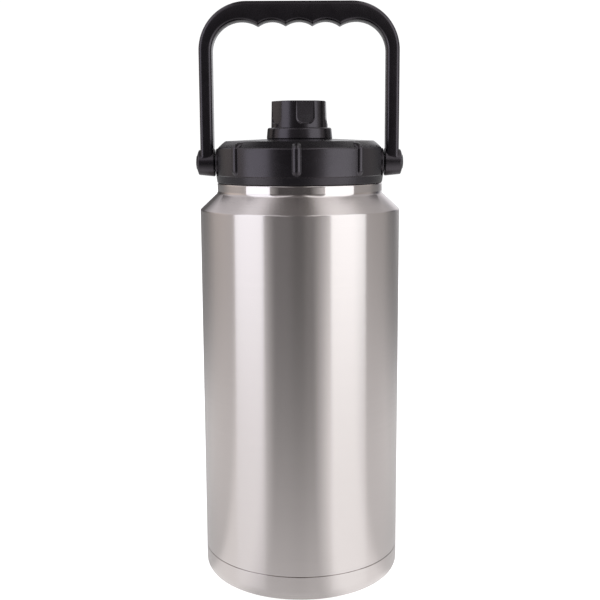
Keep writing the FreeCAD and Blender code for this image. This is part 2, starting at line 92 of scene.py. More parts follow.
def rounded(corners, step=math.radians(11)):
    """Points of a closed outline. A corner is (r, z) or (r, z, radius), and arcs take short steps."""
    count = len(corners)
    points = []
    for i, corner in enumerate(corners):
        here = np.array(corner[:2], float)
        radius = corner[2] if len(corner) > 2 else 0.0
        if radius == 0.0:
            points.append(here)
            continue
        back = np.array(corners[i - 1][:2], float) - here
        ahead = np.array(corners[(i + 1) % count][:2], float) - here
        back /= np.linalg.norm(back)
        ahead /= np.linalg.norm(ahead)
        half = math.acos(np.clip(back @ ahead, -1, 1)) / 2
        start = here + back * radius / math.tan(half)
        centre = here + (back + ahead) / np.linalg.norm(back + ahead) * radius / math.sin(half)
        sweep = math.pi - 2 * half
        spoke = start - centre
        turn = math.copysign(1.0, back[0] * ahead[1] - back[1] * ahead[0]) * -1
        steps = max(2, math.ceil(sweep / step))
        for k in range(steps + 1):
            angle = turn * sweep * k / steps
            cos_a, sin_a = math.cos(angle), math.sin(angle)
            points.append(centre + np.array([cos_a * spoke[0] - sin_a * spoke[1],
                                             sin_a * spoke[0] + cos_a * spoke[1]]))
    return np.array(points)


def supported(points, longest=8 * MM, guard=0.5 * MM):
    """Splits long straight runs, with one split close to each end so that shading stays flat."""
    out = []
    count = len(points)
    for i in range(count):
        here, after = points[i], points[(i + 1) % count]
        out.append(here)
        length = np.linalg.norm(after - here)
        on_axis = here[0] < ON_AXIS and after[0] < ON_AXIS
        if length < 4 * guard or on_axis:
            continue
        stops = [guard / length]
        pieces = math.ceil((length - 2 * guard) / longest)
        stops += [(guard + (length - 2 * guard) * k / pieces) / length for k in range(1, pieces + 1)]
        out += [here + (after - here) * t for t in stops]
    return np.array(out)


def finish_mesh(name, verts, faces, material):
    mesh = bpy.data.meshes.new(name)
    mesh.from_pydata([tuple(v) for v in verts], [], faces)
    mesh.validate()
    tool = bmesh.new()
    tool.from_mesh(mesh)
    bmesh.ops.recalc_face_normals(tool, faces=tool.faces)
    tool.to_mesh(mesh)
    tool.free()
    mesh.polygons.foreach_set("use_smooth", [True] * len(mesh.polygons))
    mesh.set_sharp_from_angle(angle=SHARP)
    mesh.materials.append(material)
    piece = bpy.data.objects.new(name, mesh)
    bpy.context.scene.collection.objects.link(piece)
    return piece


def even_angles(count):
    return np.linspace(0, 2 * math.pi, count, endpoint=False)


def turned(name, profile, material, angles=None, shape=None, frame_of=None):
    """Closed solid of revolution. shape(angle, r, z) may bend each column, and frame_of places it."""
    if angles is None:
        angles = even_angles(192)
    count = len(profile)
    on_axis = profile[:, 0] < ON_AXIS
    verts = []
    index = np.zeros((len(angles), count), int)
    for i in np.flatnonzero(on_axis):
        index[:, i] = len(verts)
        verts.append((0.0, 0.0, profile[i, 1]))
    for a, angle in enumerate(angles):
        r, z = profile[:, 0], profile[:, 1]
        if shape is not None:
            r, z = shape(angle, r, z)
        for i in np.flatnonzero(~on_axis):
            index[a, i] = len(verts)
            verts.append((r[i] * math.sin(angle), -r[i] * math.cos(angle), z[i]))
    faces = []
    for a in range(len(angles)):
        b = (a + 1) % len(angles)
        for i in range(count):
            j = (i + 1) % count
            if on_axis[i] and on_axis[j]:
                continue
            ring = [index[a, i], index[a, j], index[b, j], index[b, i]]
            faces.append([v for k, v in enumerate(ring) if v not in ring[:k]])
    if frame_of is not None:
        verts = [tuple(frame_of @ Vector(v)) for v in verts]
    return finish_mesh(name, verts, faces, material)


def lathe(name, corners, material, **options):
    return turned(name, supported(rounded(corners)), material, **options)


def unite(target, other):
    """Exact boolean union of two closed meshes."""
    change = target.modifiers.new("unite", "BOOLEAN")
    change.operation = "UNION"
    change.solver = "EXACT"
    change.object = other
    graph = bpy.context.evaluated_depsgraph_get()
    mesh = bpy.data.meshes.new_from_object(target.evaluated_get(graph))
    target.modifiers.clear()
    target.data = mesh
    bpy.data.objects.remove(other)
    mesh.polygons.foreach_set("use_smooth", [True] * len(mesh.polygons))
    mesh.set_sharp_from_angle(angle=SHARP)
    return target


def put(piece, body, slot, *nodes):
    """Rides a piece on its body and lets it stand for CAD nodes, which it hides. The slot is not used.
    """
    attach(piece, body)
    if nodes:
        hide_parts(*nodes)
    return piece


# -------------------------------------------------------------------------------- materials

class Nodes:
    """A node tree, with one short call per node."""

    def __init__(self, tree):
        self.tree = tree

    def node(self, kind, **settings):
        made = self.tree.nodes.new(kind)
        for key, value in settings.items():
            setattr(made, key, value)
        return made

    def link(self, source, target):
        self.tree.links.new(source, target)

    def maths(self, operation, a, b=None):
        made = self.node("ShaderNodeMath", operation=operation)
        for socket, value in zip(made.inputs, (a, b)):
            if value is None:
                continue
            if isinstance(value, (int, float)):
                socket.default_value = value
            else:
                self.link(value, socket)
        return made.outputs[0]

    def noise(self, vector, scale, detail=2.0, roughness=0.5):
        made = self.node("ShaderNodeTexNoise")
        made.inputs["Scale"].default_value = scale
        made.inputs["Detail"].default_value = detail
        made.inputs["Roughness"].default_value = roughness
        self.link(vector, made.inputs["Vector"])
        return made.outputs["Fac"]

    def spread(self, value, low, high, from_low=0.0, from_high=1.0):
        made = self.node("ShaderNodeMapRange")
        self.link(value, made.inputs["Value"])
        made.inputs["From Min"].default_value = from_low
        made.inputs["From Max"].default_value = from_high
        made.inputs["To Min"].default_value = low
        made.inputs["To Max"].default_value = high
        return made.outputs["Result"]

    def ramp(self, value, low, high, stops):
        """Colour by a value: the stops are pairs of value and colour."""
        made = self.node("ShaderNodeValToRGB")
        self.link(self.spread(value, 0, 1, low, high), made.inputs[0])
        elements = made.color_ramp.elements
        while len(elements) < len(stops):
            elements.new(0.5)
        for element, (place, colour) in zip(elements, stops):
            element.position = (place - low) / (high - low)
            element.color = (*colour, 1)
        return made.outputs[0]

    def camera_ray_mix(self, seen, reflected):
        """Shows one shader to the camera and another to reflections and light."""
        mix = self.node("ShaderNodeMixShader")
        self.link(self.node("ShaderNodeLightPath").outputs["Is Camera Ray"], mix.inputs[0])
        self.link(reflected, mix.inputs[1])
        self.link(seen, mix.inputs[2])
        return mix.outputs[0]


class Graph(Nodes):
    """A material's node tree round its Principled shader."""

    def __init__(self, name):
        self.material = bpy.data.materials.new(name)
        self.material.use_nodes = True
        super().__init__(self.material.node_tree)
        self.shader = self.tree.nodes["Principled BSDF"]

    def position(self):
        return self.node("ShaderNodeTexCoord").outputs["Object"]

    def blend(self, factor, low, high):
        made = self.node("ShaderNodeMix", data_type="RGBA")
        self.link(factor, made.inputs["Factor"])
        made.inputs["A"].default_value = (*low, 1.0)
        made.inputs["B"].default_value = (*high, 1.0)
        return made.outputs["Result"]

    def bump(self, height, strength, distance):
        made = self.node("ShaderNodeBump")
        made.inputs["Strength"].default_value = strength
        made.inputs["Distance"].default_value = distance
        self.link(height, made.inputs["Height"])
        self.link(made.outputs["Normal"], self.shader.inputs["Normal"])

    def set(self, **values):
        for key, value in values.items():
            self.shader.inputs[key.replace("_", " ")].default_value = value


FINE_LINES = (5.0, 4200.0)  # noise cells per metre along the brushing and across it
COARSE_LINES = (2.5, 1300.0)
FACE_CLIMB = 0.4  # share of the radius added to the height, so that flat faces have rings too
POLISH_SPAN = 1 * MM
LINE_DEPTH = 0.002 * MM


def brushed_steel(name, low, high, rough=(0.225, 0.265)):
    """Stainless steel with fine lines round the jug's axis, as a brushing belt leaves them.

    The neck, above the cone, is polished to half the roughness.
    """
    g = Graph(name)
    g.set(Metallic=1.0, Anisotropic=1.0, Anisotropic_Rotation=0.25)
    place = g.node("ShaderNodeSeparateXYZ")
    g.link(g.position(), place.inputs[0])
    x, y, z = place.outputs
    radius = g.maths("SQRT", g.maths("ADD", g.maths("MULTIPLY", x, x), g.maths("MULTIPLY", y, y)))
    climb = g.maths("ADD", z, g.maths("MULTIPLY", radius, FACE_CLIMB))

    def lines(along, across):
        grid = g.node("ShaderNodeCombineXYZ")
        g.link(g.maths("MULTIPLY", x, along), grid.inputs[0])
        g.link(g.maths("MULTIPLY", y, along), grid.inputs[1])
        g.link(g.maths("MULTIPLY", climb, across), grid.inputs[2])
        return g.noise(grid.outputs[0], 1.0, 2.0, 0.6)

    fine = lines(*FINE_LINES)
    coarse = lines(*COARSE_LINES)
    both = g.maths("ADD", g.maths("MULTIPLY", fine, 0.8), g.maths("MULTIPLY", coarse, 0.2))
    g.link(g.blend(g.spread(both, 0, 1, 0.1, 0.9), low, high), g.shader.inputs["Base Color"])
    brushed = g.spread(both, rough[1], rough[0], 0.1, 0.9)
    polish = g.spread(z, 1, 0.5, NECK_Z - POLISH_SPAN, NECK_Z + POLISH_SPAN)
    g.link(g.maths("MULTIPLY", brushed, polish), g.shader.inputs["Roughness"])
    g.bump(fine, 0.1, LINE_DEPTH)
    tangent = g.node("ShaderNodeTangent", direction_type="RADIAL", axis="Z")
    g.link(tangent.outputs[0], g.shader.inputs["Tangent"])
    return g.material


def moulded(name, low, high, rough=(0.22, 0.30), grain_size=0.35 * MM, grain_depth=0.02 * MM):
    """Moulded plastic with a fine spark-eroded grain and faint handling marks."""
    g = Graph(name)
    g.set(Specular_IOR_Level=0.68, Specular_Tint=(1.0, 0.90, 1.0, 1.0))
    place = g.position()
    grain = g.noise(place, 1.0 / grain_size, 2.0, 0.6)
    cloud = g.noise(place, 38.0, 4.0, 0.6)
    tone = g.blend(g.spread(cloud, 0, 1, 0.3, 0.7), low, high)
    g.link(tone, g.shader.inputs["Base Color"])
    smudge = g.noise(place, 95.0, 5.0, 0.65)
    g.link(g.spread(smudge, rough[0], rough[1], 0.3, 0.7), g.shader.inputs["Roughness"])
    g.bump(grain, 0.3, grain_depth)
    return g.material


def silicone(name, low, high):
    g = Graph(name)
    g.set(Subsurface_Weight=0.3, Subsurface_Scale=2 * MM)
    cloud = g.noise(g.position(), 160.0, 3.0)
    g.link(g.blend(cloud, low, high), g.shader.inputs["Base Color"])
    g.link(g.spread(cloud, 0.42, 0.58), g.shader.inputs["Roughness"])
    g.bump(g.noise(g.position(), 2400.0, 2.0), 0.25, 0.02 * MM)
    return g.material


def plain_metal(name, low, high, rough=(0.25, 0.45), scale=900.0):
    g = Graph(name)
    g.set(Metallic=1.0)
    cloud = g.noise(g.position(), scale, 4.0, 0.6)
    g.link(g.blend(cloud, low, high), g.shader.inputs["Base Color"])
    g.link(g.spread(cloud, rough[0], rough[1]), g.shader.inputs["Roughness"])
    g.bump(cloud, 0.25, 0.02 * MM)
    return g.material


def foam(name):
    g = Graph(name)
    cells = g.node("ShaderNodeTexVoronoi")
    cells.inputs["Scale"].default_value = 900.0
    g.link(g.position(), cells.inputs["Vector"])
    g.link(g.blend(cells.outputs["Distance"], (0.62, 0.58, 0.46), (0.86, 0.83, 0.74)),
           g.shader.inputs["Base Color"])
    g.set(Roughness=0.9)
    g.bump(cells.outputs["Distance"], 0.6, 0.4 * MM)
    return g.material


STEEL_LOW = (0.565, 0.523, 0.512)
STEEL_HIGH = (0.615, 0.569, 0.557)
STEEL = brushed_steel("steel_brushed", STEEL_LOW, STEEL_HIGH)
STEEL_CUP = brushed_steel("steel_brushed_cup", STEEL_LOW, STEEL_HIGH)
STEEL_INSIDE = brushed_steel("steel_polished", (0.62, 0.62, 0.62), (0.72, 0.72, 0.72), (0.14, 0.22))
STEEL_PLATE = brushed_steel("steel_plate", (0.5, 0.49, 0.48), (0.6, 0.59, 0.58), (0.3, 0.42))
STEEL_SMALL = plain_metal("steel_small", (0.5, 0.5, 0.5), (0.64, 0.64, 0.63))
SOLDER = plain_metal("solder", (0.4, 0.4, 0.41), (0.52, 0.52, 0.53), (0.35, 0.6), 1500.0)
TABLET = plain_metal("getter_powder", (0.12, 0.12, 0.13), (0.24, 0.24, 0.25), (0.6, 0.9), 3500.0)
BRASS = plain_metal("brass", (0.6, 0.42, 0.17), (0.76, 0.57, 0.27))
BLACK = moulded("plastic_black", (0.0024, 0.0022, 0.0028), (0.0040, 0.0036, 0.0046))
BLACK_SMOOTH = moulded("plastic_black_smooth", (0.005, 0.0048, 0.0056), (0.007, 0.0066, 0.0076),
                       (0.26, 0.36), 0.6 * MM, 0.01 * MM)
WHITE_ACETAL = moulded("acetal_white", (0.72, 0.72, 0.7), (0.8, 0.8, 0.78),
                       (0.3, 0.42), 0.6 * MM, 0.01 * MM)
SILICONE = silicone("silicone_clear", (0.60, 0.60, 0.59), (0.72, 0.72, 0.70))
FOAM = foam("foam_cells")


# ------------------------------------------------------------------------------ steel body

STEEL_T = 0.9 * MM
MOUTH_R = BODY_R - 20.0 * MM
SEAM_EDGE_R = 0.18 * MM
SPIGOT_H = 5 * MM
PUMP_HOLE_R = 2.2 * MM
PLATE_GAP = 2.2 * MM
RECESS_SLOPE = 5 * MM


def body_wall():
    inner_r = BODY_R - STEEL_T
    neck_in = NECK_R - STEEL_T
    lip_in = MOUTH_R + STEEL_T
    corners = [
        (inner_r, SEAM_TOP_Z), (BODY_R, SEAM_TOP_Z, SEAM_EDGE_R),
        (BODY_R, SHOULDER_Z, 1.3 * MM), (NECK_R, NECK_Z, 3 * MM),
        (NECK_R, LIP_Z, 0.7 * MM), (lip_in, LIP_Z),
        (lip_in, LIP_Z - STEEL_T), (neck_in, LIP_Z - STEEL_T, 0.3 * MM),
        (neck_in, NECK_Z - 0.4 * MM, 3 * MM), (inner_r, SHOULDER_Z - 0.4 * MM, 1 * MM)]
    return put(lathe("wall", corners, STEEL), "jug", "steel_outer", "outer_shell")


def bottom_cup():
    spigot_r = BODY_R - STEEL_T
    inner_r = spigot_r - STEEL_T
    recess_r = PLATE_R + PLATE_GAP
    slope_r = recess_r + RECESS_SLOPE
    spigot_top_z = SEAM_LOW_Z + SPIGOT_H
    recess_z = PLATE_TOP_Z
    corners = [
        (PUMP_HOLE_R, recess_z), (recess_r, recess_z, 2 * MM), (slope_r, BASE_Z, 2 * MM),
        (BODY_R, BASE_Z, 8.9 * MM), (BODY_R, SEAM_LOW_Z, SEAM_EDGE_R), (spigot_r, SEAM_LOW_Z),
        (spigot_r, spigot_top_z), (inner_r, spigot_top_z),
        (inner_r, BASE_Z + STEEL_T, 7.1 * MM), (slope_r + 0.4 * MM, BASE_Z + STEEL_T, 1 * MM),
        (recess_r + 0.4 * MM, recess_z + STEEL_T, 1 * MM), (PUMP_HOLE_R, recess_z + STEEL_T)]
    return put(lathe("bottom_cup", corners, STEEL_CUP), "jug", "steel_base", "base_cup")


def bottom_plate():
    corners = [(0, PLATE_Z), (PLATE_R, PLATE_Z, 0.35 * MM), (PLATE_R, PLATE_TOP_Z), (0, PLATE_TOP_Z)]
    return put(lathe("bottom_plate", corners, STEEL_PLATE), "jug", "steel_plate", "base_plate")


body_wall()
bottom_cup()
bottom_plate()


# ----------------------------------------------------------------------------------- lid

LID_R = BODY_R - 11.3 * MM
LID_RING_R = LID_R - 0.5 * MM
LID_BOTTOM_R = LID_R - 1.2 * MM
LID_EDGE_R = LID_R - 7.5 * MM
LID_RING_TOP_Z = LID_BOTTOM_Z + 5.1 * MM
LID_BAND_LOW_Z = LID_BOTTOM_Z + 5.6 * MM
LID_BAND_TOP_Z = LID_BOTTOM_Z + 24.6 * MM
LID_EDGE_Z = LID_BOTTOM_Z + 29.4 * MM
LID_SEAT_Z = COLLAR_Z
LID_WALL = 2.5 * MM
LID_ROOF_T = 3.5 * MM
LID_BORE_R = 14.6 * MM
FLANGE_SEAT_R = 57 * MM
FLANGE_SEAT_Z = LID_BOTTOM_Z + 4.5 * MM
FLAT_X = LID_R - 3.3 * MM
FLAT_TOP_Z = LID_BOTTOM_Z + 24.85 * MM
FLAT_EDGE_X = LID_EDGE_R + 0.4 * MM
RIB_R = 3.4 * MM
RIB_SPINE_R = LID_R - RIB_R / 2
RIB_LOW_Z = LID_BAND_LOW_Z + 3.8 * MM
RIB_BEND_Z = LID_BAND_TOP_Z - 0.9 * MM
RIB_LEAN = 2.4 * MM
RIB_TURN = math.radians(-2.0)
RIB_ANGLES = [RIB_TURN + math.radians(45 * i) for i in range(8) if i % 4 != 2]
RIB_HALF_SPAN = math.radians(4.6)
RIB_CLEAR = math.radians(5.2)
FLAT_MARGIN = 0.05
BOSS_R = 10 * MM
BOSS_FACE_X = LID_R - 0.6 * MM
BOSS_SINK = 1 * MM
ROUND_COLUMNS = 96


def smooth_max(a, b, soft):
    """Larger of two values, with a fillet of about that size where they meet."""
    gap = np.clip(0.5 + 0.5 * (b - a) / soft, 0, 1)
    return a + (b - a) * gap + soft * gap * (1 - gap)


def turn_between(angle, other):
    return (angle - other + math.pi) % (2 * math.pi) - math.pi


def lid_columns():
    """Column angles: close together over the ribs and the flats, and wide apart between them."""
    over_rib = np.linspace(-RIB_HALF_SPAN, RIB_HALF_SPAN, 61)
    corner = math.asin(FLAT_X / LID_R)
    from_angle = corner - FLAT_MARGIN
    over_flat = np.concatenate([np.linspace(from_angle, math.pi - from_angle, 61),
                                [corner, math.pi - corner]])
    dense = [angle + offset for angle in RIB_ANGLES for offset in over_rib]
    dense += [side * angle for side in (1, -1) for angle in over_flat]
    wide = [a for a in np.radians(np.arange(0, 360, 2.0))
            if all(abs(turn_between(a, rib)) > RIB_CLEAR for rib in RIB_ANGLES)
            and abs(math.sin(a)) < math.sin(from_angle - 0.01)]
    return np.unique(np.round(np.mod(np.array(dense + wide), 2 * math.pi), 6))


def rib_spine():
    """Points up the band and in along the chamfer: (radius, lowest z, highest z) of each ball."""
    lean = np.array([LID_EDGE_R - LID_R, LID_EDGE_Z - LID_BAND_TOP_Z])
    lean /= np.linalg.norm(lean)
    balls = [(RIB_SPINE_R, RIB_LOW_Z, RIB_BEND_Z)]
    for along in np.linspace(0.3 * MM, RIB_LEAN, 8):
        r, z = np.array([RIB_SPINE_R, RIB_BEND_Z]) + lean * along
        balls.append((r, z, z))
    return balls


def shape_lid(angle, r, z):
    """Raises the half-round ribs out of the lid's outside and cuts the flats for the pivots."""
    outer = np.interp(z, [LID_BOTTOM_Z, LID_RING_TOP_Z, LID_BAND_LOW_Z, LID_BAND_TOP_Z, LID_EDGE_Z],
                      [LID_BOTTOM_R, LID_RING_R, LID_R, LID_R, LID_EDGE_R])
    outside = r > outer - 1.2 * MM
    grown = r.copy()
    for rib in RIB_ANGLES:
        turn = turn_between(angle, rib)
        if abs(turn) > math.radians(6):
            continue
        for spine_r, low, high in rib_spine():
            beyond = z - np.clip(z, low, high)
            rest = RIB_R ** 2 - (spine_r * math.sin(turn)) ** 2 - beyond ** 2
            reach = spine_r * math.cos(turn) + np.sqrt(np.maximum(rest, 0))
            grown = np.where(outside & (rest > 0), np.maximum(grown, reach), grown)
    slope = (LID_EDGE_Z - FLAT_TOP_Z) / (FLAT_X - FLAT_EDGE_X)
    face_x = np.minimum(FLAT_X, FLAT_EDGE_X + (LID_EDGE_Z - z) / slope)
    face_x = np.where(outside, face_x, FLAT_X - LID_WALL)
    low_z = np.where(outside, LID_RING_TOP_Z + HAIR, FLANGE_SEAT_Z - HAIR)
    flattened = (z > low_z) & (r > FLANGE_SEAT_R + 0.05 * MM - np.where(outside, 10 * MM, 0))
    limit = face_x / max(abs(math.sin(angle)), 0.01)
    return np.where(flattened, np.minimum(grown, limit), grown), z


def lid_cap():
    roof_z = LID_SEAT_Z - LID_ROOF_T
    corners = [
        (LID_BORE_R, roof_z), (LID_EDGE_R - 1.5 * MM, roof_z - 0.6 * MM, 2 * MM),
        (LID_R - LID_WALL, LID_BAND_TOP_Z - 1.4 * MM, 2 * MM), (LID_R - LID_WALL, FLANGE_SEAT_Z),
        (FLANGE_SEAT_R, FLANGE_SEAT_Z), (FLANGE_SEAT_R, LID_BOTTOM_Z, 0.3 * MM),
        (LID_BOTTOM_R, LID_BOTTOM_Z, 0.6 * MM), (LID_RING_R, LID_RING_TOP_Z, 0.2 * MM),
        (LID_R, LID_BAND_LOW_Z, 0.3 * MM),
        (LID_R, LID_BAND_TOP_Z, 1.5 * MM), (LID_EDGE_R, LID_EDGE_Z, 1.8 * MM),
        (COLLAR_R + 1 * MM, LID_SEAT_Z + 0.2 * MM), (COLLAR_R + 0.4 * MM, LID_SEAT_Z, 0.2 * MM),
        (LID_BORE_R, LID_SEAT_Z)]
    profile = supported(rounded(corners), longest=0.9 * MM, guard=0.15 * MM)
    shell = turned("lid", profile, BLACK, angles=lid_columns(), shape=shape_lid)
    return put(shell, "lid", "lid_plastic", "lid_shell")


def along_x(side):
    """Turns a lathed piece's +Z to +X or -X, at the pivot's height."""
    return Matrix.Translation((0, 0, PIVOT_Z)) @ Matrix.Rotation(side * math.pi / 2, 4, "Y")


def lid_boss(side, label):
    corners = [(0, FLAT_X - BOSS_SINK), (BOSS_R, FLAT_X - BOSS_SINK),
               (BOSS_R, BOSS_FACE_X, 0.6 * MM), (0, BOSS_FACE_X)]
    boss = lathe("lid_boss_" + label, corners, BLACK, frame_of=along_x(side),
                 angles=even_angles(ROUND_COLUMNS))
    return put(boss, "lid", "lid_plastic")


def spout_foot():
    bore_r = 14.5 * MM
    flange_r = 20.6 * MM
    flange_z = COLLAR_Z + 2 * MM
    sunk_r = CAP_R + 0.4 * MM
    seat_z = COLLAR_TOP_Z - 0.6 * MM
    corners = [
        (bore_r, flange_z), (flange_r, flange_z), (flange_r, COLLAR_Z),
        (COLLAR_R - 0.3 * MM, COLLAR_Z, 0.15 * MM), (COLLAR_R, COLLAR_Z + 1 * MM, 0.5 * MM),
        (COLLAR_R - 0.7 * MM, COLLAR_TOP_Z, 1.4 * MM), (sunk_r, COLLAR_TOP_Z, 0.15 * MM),
        (sunk_r, seat_z), (bore_r, seat_z)]
    return put(lathe("spout_foot", corners, BLACK), "lid", "collar_plastic", "spout_collar")


lid_cap()
for side, label in ((1, "right"), (-1, "left")):
    lid_boss(side, label)
spout_foot()


# ------------------------------------------------------------------------------- spout cap

CAP_HIGH_R = CAP_R - 0.4 * MM
GRIP_COUNT = 5
GRIP_TURN = math.radians(12.7)
GRIP_HALF_W = 6.5 * MM
GRIP_LOW_Z = CAP_TOP_Z - 15.8 * MM
GRIP_CORNER_R = 4.4 * MM
GRIP_FLOOR_R = CAP_R - 1.6 * MM
GRIP_EDGE = 0.3 * MM
CAP_CORE_R = 12 * MM


def sink_grips(angle, r, z):
    """Sinks five flat-floored, U-shaped finger recesses into the cap's side, open at the top."""
    sunk = r.copy()
    outer = CAP_R + (CAP_HIGH_R - CAP_R) * (z - CAP_Z) / (CAP_TOP_Z - CAP_Z)
    for i in range(GRIP_COUNT):
        centre = GRIP_TURN + 2 * math.pi * i / GRIP_COUNT
        turn = turn_between(angle, centre)
        if abs(turn) > math.radians(30):
            continue
        across = abs(outer * math.sin(turn)) - (GRIP_HALF_W - GRIP_CORNER_R)
        below = GRIP_LOW_Z + GRIP_CORNER_R - z
        outside = np.hypot(np.maximum(across, 0), np.maximum(below, 0)) - GRIP_CORNER_R
        outside = np.where((across <= 0) & (below <= 0), -GRIP_CORNER_R, outside)
        mask = np.clip(0.5 - outside / (2 * GRIP_EDGE), 0, 1)
        mask = mask * mask * (3 - 2 * mask)
        depth = np.maximum(outer - GRIP_FLOOR_R / math.cos(turn), 0) * mask
        share = np.clip((r - CAP_CORE_R) / (CAP_HIGH_R - CAP_CORE_R), 0, 1)
        on_outside = (r > outer - 2.2 * MM) | (z > CAP_TOP_Z - HAIR)
        sunk = np.where(on_outside, sunk - depth * share, sunk)
    return sunk, z


def cap_top():
    bore_r = 17.3 * MM
    roof_z = CAP_TOP_Z - 2.1 * MM
    corners = [
        (0, roof_z), (bore_r, roof_z), (bore_r, CAP_Z),
        (CAP_R, CAP_Z, 0.2 * MM), (CAP_HIGH_R, CAP_TOP_Z, 0.5 * MM), (0, CAP_TOP_Z)]
    profile = supported(rounded(corners), longest=0.5 * MM, guard=0.2 * MM)
    inside = profile[:, 0] <= bore_r + HAIR
    on_corner = (profile[:, 0] > bore_r - HAIR) | (profile[:, 0] < ON_AXIS)
    keep = ~inside | on_corner | (np.arange(len(profile)) % 4 == 0)
    piece = turned("cap", profile[keep], BLACK, angles=even_angles(400), shape=sink_grips)
    return put(piece, "cap", "cap_plastic", "spout_cap")


cap_top()


# ---------------------------------------------------------------------------------- handle

HALF_W = 71.0 * MM
LEG_W = 9.2 * MM
BAR_TOP_Z = HANDLE_HIGH.z
CORNER_R = 34.0 * MM
HALF_DEPTH = 8.8 * MM
SECTION_R = 2.7 * MM
FINGER_PITCH = 19.0 * MM
FINGER_R = 16.5 * MM
APEX_Z = BAR_TOP_Z - 13.4 * MM
INNER_R = 21.2 * MM
INNER_X = HALF_W - LEG_W - INNER_R
HUB_IN_X = LID_R + 0.2 * MM
HUB_IN_R = 10 * MM
HUB_OUT_R = 8.9 * MM
HUB_DOME_R = 22.5 * MM
COVER_R = 5 * MM
COVER_RISE = 0.3 * MM
COVER_T = 4.9 * MM
COVER_GAP = 0.05 * MM


def grip_underside(x):
    """Height of the bar's scalloped underside: three finger arcs and the two inner corners."""
    x = abs(x)
    arcs = [(0.0, FINGER_R), (FINGER_PITCH, FINGER_R), (INNER_X, INNER_R)]
    heights = []
    for centre, radius in arcs:
        if abs(x - centre) < radius:
            heights.append(APEX_Z - radius + math.sqrt(radius ** 2 - (x - centre) ** 2))
    if x > INNER_X:
        return heights[-1]
    soft = 0.5 * MM
    total = heights[0]
    for height in heights[1:]:
        total = float(smooth_max(np.array(total), np.array(height), soft))
    return total


def bail_stations():
    """Outer and inner point of each cross-section, from the left hub over the top to the right."""
    centre_x = HALF_W - CORNER_R
    centre_z = BAR_TOP_Z - CORNER_R
    right = []
    for x in np.arange(0, centre_x - HAIR, 0.6 * MM):
        right.append(((x, BAR_TOP_Z), (x, grip_underside(x))))
    for angle in np.linspace(math.pi / 2, 0, 31):
        spoke = np.array([math.cos(angle), math.sin(angle)])
        outer = np.array([centre_x, centre_z]) + CORNER_R * spoke
        offset = np.array([centre_x - INNER_X, centre_z - (APEX_Z - INNER_R)])
        along = -offset @ spoke + math.sqrt((offset @ spoke) ** 2 - offset @ offset + INNER_R ** 2)
        inner = np.array([centre_x, centre_z]) + along * spoke
        right.append((tuple(outer), tuple(inner)))
    for z in np.linspace(centre_z, PIVOT_Z, 18)[1:]:
        right.append(((HALF_W, z), (HALF_W - LEG_W, z)))
    left = [((-o[0], o[1]), (-i[0], i[1])) for o, i in right[1:]]
    return left[::-1] + right


def bail_section(outer, inner):
    """Rounded rectangle between an outer and an inner point, as deep as the handle."""
    outer, inner = np.array(outer), np.array(inner)
    width = np.linalg.norm(inner - outer)
    inward = (inner - outer) / width
    corners = [(0, -HALF_DEPTH, SECTION_R), (width, -HALF_DEPTH, SECTION_R),
               (width, HALF_DEPTH, SECTION_R), (0, HALF_DEPTH, SECTION_R)]
    ring = []
    for across, depth in rounded(corners, step=math.radians(15)):
        spot = outer + inward * across
        ring.append((spot[0], depth, spot[1]))
    return ring


def bail():
    rings = [bail_section(outer, inner) for outer, inner in bail_stations()]
    size = len(rings[0])
    verts = [v for ring in rings for v in ring]
    faces = []
    for r in range(len(rings) - 1):
        for i in range(size):
            j = (i + 1) % size
            faces.append([r * size + i, r * size + j, (r + 1) * size + j, (r + 1) * size + i])
    faces.append(list(range(size))[::-1])
    faces.append(list(range((len(rings) - 1) * size, len(rings) * size)))
    bow = finish_mesh("bail", verts, faces, BLACK)
    for side in (1, -1):
        unite(bow, hub(side))
    bow.data.materials.clear()
    bow.data.materials.append(BLACK)
    return put(bow, "bail", "handle_plastic", "handle")


def dome(apex_x, from_r, to_r, steps):
    """Points (radius, x) on the ball-shaped outer face of a hub or cover."""
    centre_x = apex_x - HUB_DOME_R
    radii = np.linspace(from_r, to_r, steps)
    return [(r, centre_x + math.sqrt(HUB_DOME_R ** 2 - r ** 2)) for r in radii]


def hub(side):
    apex_x = COVER_HIGH.x - COVER_RISE
    face = dome(apex_x, HUB_OUT_R - 1.2 * MM, COVER_R + 0.15 * MM, 5)
    rim_x = dome(apex_x, HUB_OUT_R, HUB_OUT_R, 1)[0][1]
    pocket_x = face[-1][1] - 1 * MM
    corners = [
        (0, HUB_IN_X), (HUB_IN_R - 0.7 * MM, HUB_IN_X, 0.2 * MM),
        (HUB_IN_R, HUB_IN_X + 0.7 * MM, 0.3 * MM),
        (HUB_OUT_R, rim_x, 0.9 * MM), *face,
        (COVER_R + 0.1 * MM, pocket_x), (0, pocket_x)]
    return lathe("hub", corners, BLACK, frame_of=along_x(side),
                 angles=even_angles(ROUND_COLUMNS))


def pivot_cover(side, label):
    apex_x = COVER_HIGH.x
    face = dome(apex_x, COVER_R - 0.45 * MM, 0, 6)
    low_x = apex_x - COVER_T
    rim_r = COVER_R - COVER_GAP
    corners = [(0, low_x), (rim_r, low_x), (rim_r, face[0][1] - 0.05 * MM, 0.35 * MM), *face]
    cover = lathe("pivot_cover_" + label, corners, BLACK_SMOOTH, frame_of=along_x(side),
                  angles=even_angles(64))
    nodes = ("hub_caps",) if label == "right" else ()
    return put(cover, "bail", "hub_cap_plastic", *nodes)


bail()
for side, label in ((1, "right"), (-1, "left")):
    pivot_cover(side, label)


# ------------------------------------------------------------- inside pieces, as packed

